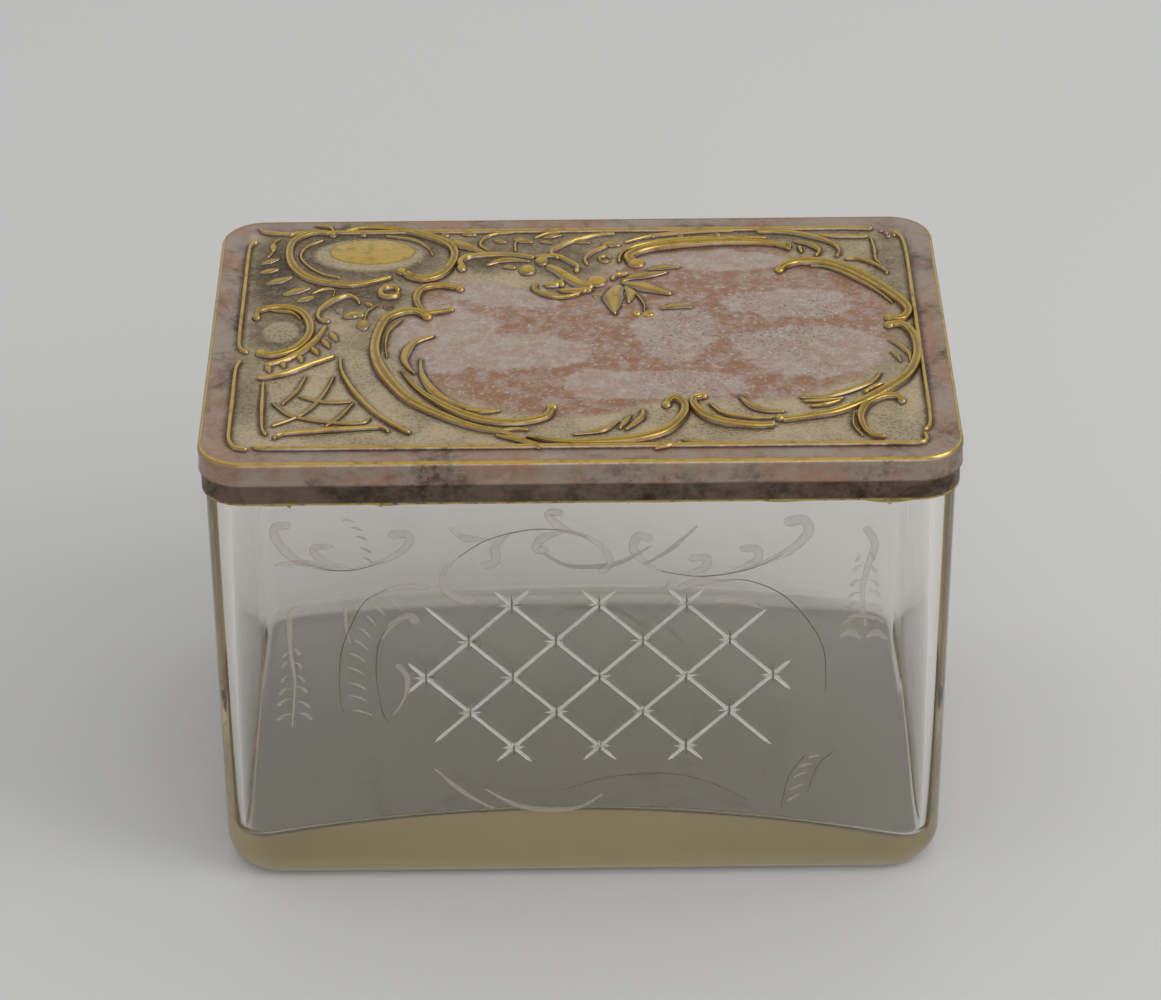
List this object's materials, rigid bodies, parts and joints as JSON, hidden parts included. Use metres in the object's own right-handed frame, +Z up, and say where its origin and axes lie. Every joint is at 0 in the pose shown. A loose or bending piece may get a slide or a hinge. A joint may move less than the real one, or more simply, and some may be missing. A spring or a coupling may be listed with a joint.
{
  "type": "hinged glass casket",
  "caption": "Moulded glass casket with a cemented metal collar and a hinged lid embossed with scrollwork.",
  "frame": {"origin": "middle of the glass body's flat underside, where the box stands on a table", "axes": "+X to the right along the long side, +Y to the back where the hinge is, +Z up out of the mouth"},
  "size_m": [0.15, 0.1085, 0.1004],
  "materials": {
    "glass": "polished",
    "cement": "matte",
    "collar_metal": "satin",
    "lid_metal": "polished",
    "hinge_metal": "satin"
  },
  "bodies": {
    "base": {"glass_body": "glass", "cement_bed": "cement", "collar": "collar_metal", "collar_leaf": "hinge_metal", "hinge_pin": "hinge_metal"},
    "lid": {"lid_shell": "lid_metal", "lid_liner": "lid_metal", "lid_leaf": "hinge_metal"}
  },
  "joints": [
    {"name": "lid_hinge", "type": "hinge", "parent": "base", "child": "lid", "pos_m": [0, 0.0547, 0.0937], "axis": [-1, 0, 0], "range_deg": [0, 100]}
  ]
}
